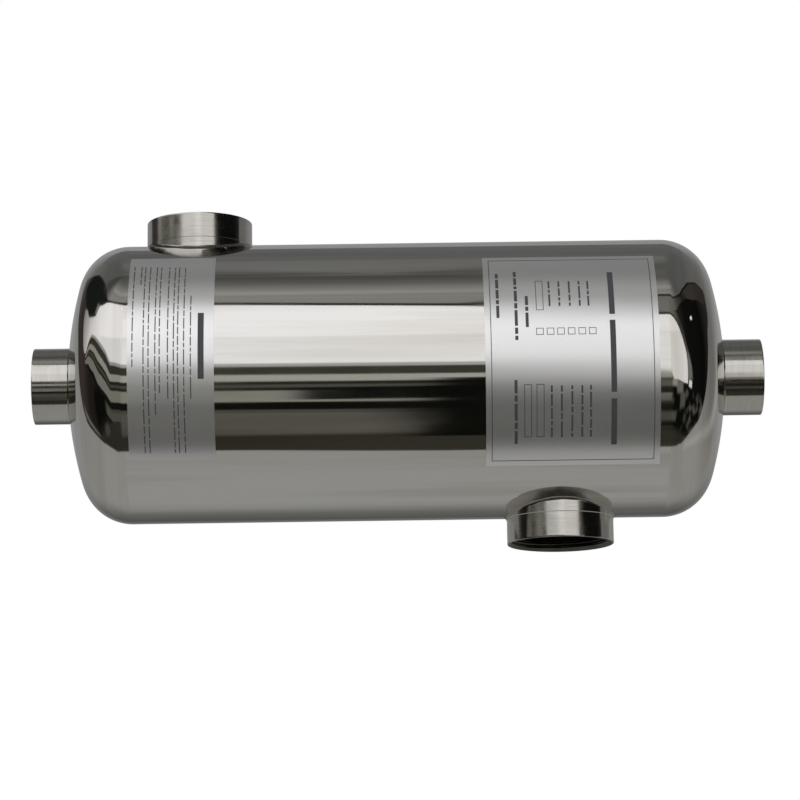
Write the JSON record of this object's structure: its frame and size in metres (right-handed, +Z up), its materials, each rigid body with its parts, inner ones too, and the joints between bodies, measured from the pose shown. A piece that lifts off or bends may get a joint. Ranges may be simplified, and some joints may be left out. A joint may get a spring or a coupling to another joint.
{
  "type": "pool heat exchanger",
  "caption": "Shell and tube pool heat exchanger: polished stainless shell with dished heads, threaded pool water sockets up and down, and threaded boiler water sockets at the ends.",
  "frame": {"origin": "centre of the lower pool socket's mouth, on its end face, where the pipe below carries the exchanger", "axes": "+X along the shell towards the end with the lower socket, +Z up along both pool sockets, -Y the front with the foil plates"},
  "size_m": [0.3479, 0.1333, 0.1587],
  "materials": {
    "polished_shell": "mirror polished stainless steel",
    "turned_socket": "turned and buffed stainless steel",
    "weld_bead": "dressed weld, stainless steel",
    "drawn_tube": "drawn stainless steel, as rolled",
    "sheet_steel": "cold rolled stainless steel, matt",
    "printed_foil": "satin silver foil, printed"
  },
  "bodies": {
    "root": {"data_plate": "printed_foil", "heating_tube_01": "drawn_tube", "heating_tube_02": "drawn_tube", "heating_tube_03": "drawn_tube", "heating_tube_04": "drawn_tube", "heating_tube_05": "drawn_tube", "heating_tube_06": "drawn_tube", "heating_tube_07": "drawn_tube", "heating_tube_08": "drawn_tube", "heating_tube_09": "drawn_tube", "heating_tube_10": "drawn_tube", "heating_tube_11": "drawn_tube", "heating_tube_12": "drawn_tube", "heating_tube_13": "drawn_tube", "heating_tube_14": "drawn_tube", "heating_tube_15": "drawn_tube", "heating_tube_16": "drawn_tube", "heating_tube_17": "drawn_tube", "heating_tube_18": "drawn_tube", "heating_tube_19": "drawn_tube", "left_baffle": "sheet_steel", "left_boiler_socket": "turned_socket", "left_boiler_socket_weld": "weld_bead", "left_girth_weld": "polished_shell", "left_head": "polished_shell", "left_tube_sheet": "sheet_steel", "lower_pool_socket": "turned_socket", "lower_pool_socket_weld": "weld_bead", "notice_plate": "printed_foil", "right_baffle": "sheet_steel", "right_boiler_socket": "turned_socket", "right_boiler_socket_weld": "weld_bead", "right_girth_weld": "polished_shell", "right_head": "polished_shell", "right_tube_sheet": "sheet_steel", "shell_tube": "polished_shell", "upper_pool_socket": "turned_socket", "upper_pool_socket_weld": "weld_bead"}
  },
  "joints": []
}
